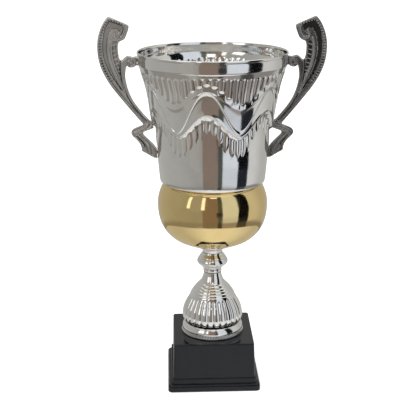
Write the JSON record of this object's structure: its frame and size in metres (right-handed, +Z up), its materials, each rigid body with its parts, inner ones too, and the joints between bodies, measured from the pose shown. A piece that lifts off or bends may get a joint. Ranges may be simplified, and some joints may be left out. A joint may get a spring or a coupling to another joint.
{
  "type": "cup trophy",
  "caption": "Two-handled fluted silver cup on a gold bowl, a turned stem, a ribbed bell foot and a square black plinth.",
  "frame": {"origin": "centre of the felt's underside, where the cup stands", "axes": "+Z up the tie rod, X through the two handles, -Y towards the front of the cup"},
  "size_m": [0.2724, 0.1806, 0.4596],
  "materials": {
    "silver_plate": "polished silver-coloured plating",
    "gold_plate": "polished gold-coloured plating",
    "cast_handle": "plated casting, darker in its recesses",
    "black_plastic": "gloss moulding",
    "felt": "pressed felt",
    "fibreboard": "raw board",
    "ballast_iron": "black oxide",
    "zinc_steel": "zinc plated"
  },
  "bodies": {
    "root": {"felt_pad": "felt", "base_cover": "fibreboard", "plinth": "black_plastic", "ballast_plate": "ballast_iron", "base_washer": "zinc_steel", "base_nut": "zinc_steel", "tie_rod": "zinc_steel", "foot_ring": "silver_plate", "foot_bell": "silver_plate", "neck_ring": "silver_plate", "stem_knob": "silver_plate", "bowl_collar": "silver_plate", "bowl_bulb": "gold_plate", "spacer_tube": "zinc_steel", "cup_body": "silver_plate", "cup_washer": "zinc_steel", "cup_nut": "zinc_steel", "handle_left": "cast_handle", "handle_right": "cast_handle", "handle_washer_left_upper": "zinc_steel", "handle_screw_left_upper": "zinc_steel", "handle_washer_left_lower": "zinc_steel", "handle_screw_left_lower": "zinc_steel", "handle_washer_right_upper": "zinc_steel", "handle_screw_right_upper": "zinc_steel", "handle_washer_right_lower": "zinc_steel", "handle_screw_right_lower": "zinc_steel"}
  },
  "joints": []
}
